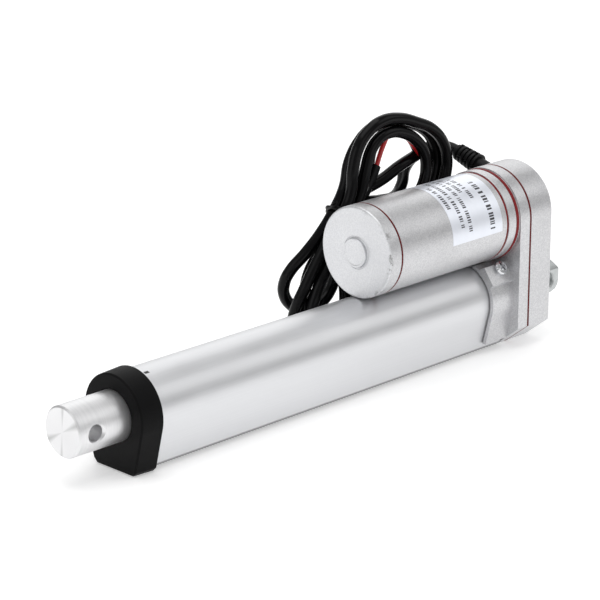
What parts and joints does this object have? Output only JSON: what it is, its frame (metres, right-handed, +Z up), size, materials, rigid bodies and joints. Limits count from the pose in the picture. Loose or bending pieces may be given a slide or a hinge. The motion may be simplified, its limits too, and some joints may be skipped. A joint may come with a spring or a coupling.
{
  "type": "linear actuator",
  "caption": "Electric linear actuator: a motor on top turns a lead screw through spur gears, and the screw pushes a round rod out of a flat-bottomed tube.",
  "frame": {"origin": "centre of the rear fork's cross hole, on the axis of the rod and the lead screw", "axes": "+X along the rod, the way it extends; +Z up, from the rod to the motor; +Y along the cross holes, away from the cable's side"},
  "size_m": [0.2695, 0.0616, 0.1006],
  "materials": {
    "painted_silver": "silver metallic paint, fine speckle",
    "bare_steel": "unpainted, slightly dull",
    "anodised_tube": "satin anodised, drawn lengthways",
    "rod_metal": "turned and drawn, satin",
    "zinc_screw": "bright zinc plate",
    "gasket_red": "dark red sheet rubber",
    "cap_plastic": "black moulded, fine grain",
    "cable_black": "black PVC sheath",
    "gland_black": "black moulded, ribbed",
    "lead_red": "red PVC",
    "lead_black": "black PVC",
    "label_silver": null,
    "bronze": "oiled bronze",
    "nylon": "natural moulded",
    "seal_black": "smooth",
    "bearing_steel": "ground",
    "spring_steel": "blackened",
    "board_green": "printed board",
    "switch_black": "moulded",
    "plunger_ivory": "moulded",
    "lead_blue": "thin leads",
    "magnet": "ferrite",
    "iron_stack": "stacked laminations",
    "copper": "enamelled copper",
    "carbon": "carbon",
    "holder_brown": "phenolic board",
    "spring_brass": "leaf brass"
  },
  "bodies": {
    "housing": {"rear_clevis": "bare_steel", "clevis_screws": "spring_steel", "gearbox_cover": "painted_silver", "cover_screws": "zinc_screw", "cover_gasket": "gasket_red", "gearbox_housing": "painted_silver", "rear_bush": "bronze", "idler_pin": "bearing_steel", "thrust_washers": "bearing_steel", "bearing_outer_ring": "bearing_steel", "bearing_retaining_ring": "spring_steel", "outer_tube": "anodised_tube", "tube_screws": "zinc_screw", "front_cap": "cap_plastic", "guide_bush": "nylon", "rod_wiper_seal": "seal_black", "switch_board": "board_green", "rear_limit_switch": "switch_black", "front_limit_switch": "switch_black", "internal_leads": "lead_blue", "motor_gasket": "gasket_red", "motor_screws": "zinc_screw", "motor_front_plate": "painted_silver", "motor_front_bush": "bronze", "sleeve_rear_gasket": "gasket_red", "motor_can": "bare_steel", "motor_sleeve": "painted_silver", "rating_label": "label_silver", "motor_magnets": "magnet", "brush_holder": "holder_brown", "motor_brushes": "carbon", "brush_springs": "spring_brass", "sleeve_front_gasket": "gasket_red", "motor_end_cap": "painted_silver", "motor_rear_bush": "bronze", "cable_gland": "gland_black", "power_cable": "cable_black", "cable_hank": "cable_black", "cable_tie": "gland_black", "lead_red": "lead_red", "lead_black": "lead_black", "lead_sleeve": "cable_black"},
    "armature": {"motor_shaft": "bearing_steel", "motor_pinion": "bronze", "armature_core": "iron_stack", "armature_windings": "copper", "commutator": "copper"},
    "idler": {"idler_gear": "nylon"},
    "screw": {"lead_screw": "rod_metal", "screw_gear": "nylon", "shaft_circlips": "spring_steel", "bearing_inner_ring": "bearing_steel", "screw_end_bush": "nylon"},
    "bearing_train": {"bearing_balls": "bearing_steel", "bearing_cage": "bronze"},
    "rod": {"rod_tube": "rod_metal", "rod_end": "rod_metal", "drive_nut": "nylon"},
    "rear_plunger": {"rear_switch_plunger": "plunger_ivory"},
    "front_plunger": {"front_switch_plunger": "plunger_ivory"}
  },
  "joints": [
    {"name": "armature_spin", "type": "hinge", "parent": "housing", "child": "armature", "pos_m": [0.06, 0, 0.0343], "axis": [-1, 0, 0], "range_deg": [0, 172320]},
    {"name": "idler_spin", "type": "hinge", "parent": "housing", "child": "idler", "pos_m": [0.02, 0, 0.0175], "axis": [-1, 0, 0], "range_deg": [-51232, 0]},
    {"name": "screw_spin", "type": "hinge", "parent": "housing", "child": "screw", "pos_m": [0.02, 0, 0], "axis": [-1, 0, 0], "range_deg": [0, 18000]},
    {"name": "bearing_train_spin", "type": "hinge", "parent": "housing", "child": "bearing_train", "pos_m": [0.0321, 0, 0], "axis": [-1, 0, 0], "range_deg": [0, 6620]},
    {"name": "rod_slide", "type": "slide", "parent": "housing", "child": "rod", "axis": [1, 0, 0], "range_m": [0, 0.15]},
    {"name": "rear_plunger_press", "type": "slide", "parent": "housing", "child": "rear_plunger", "axis": [-1, 0, 0], "range_m": [0, 0.0008], "stiffness_N_per_m": 200},
    {"name": "front_plunger_press", "type": "slide", "parent": "housing", "child": "front_plunger", "axis": [1, 0, 0], "range_m": [0, 0.0008], "stiffness_N_per_m": 200}
  ],
  "couplings": [
    {"joint": "idler_spin", "follows": "armature_spin", "ratio": -0.2973},
    {"joint": "screw_spin", "follows": "armature_spin", "ratio": 0.10446},
    {"joint": "bearing_train_spin", "follows": "armature_spin", "ratio": 0.038405},
    {"joint": "rod_slide", "follows": "armature_spin", "m_per_rad": 0.000049874}
  ]
}
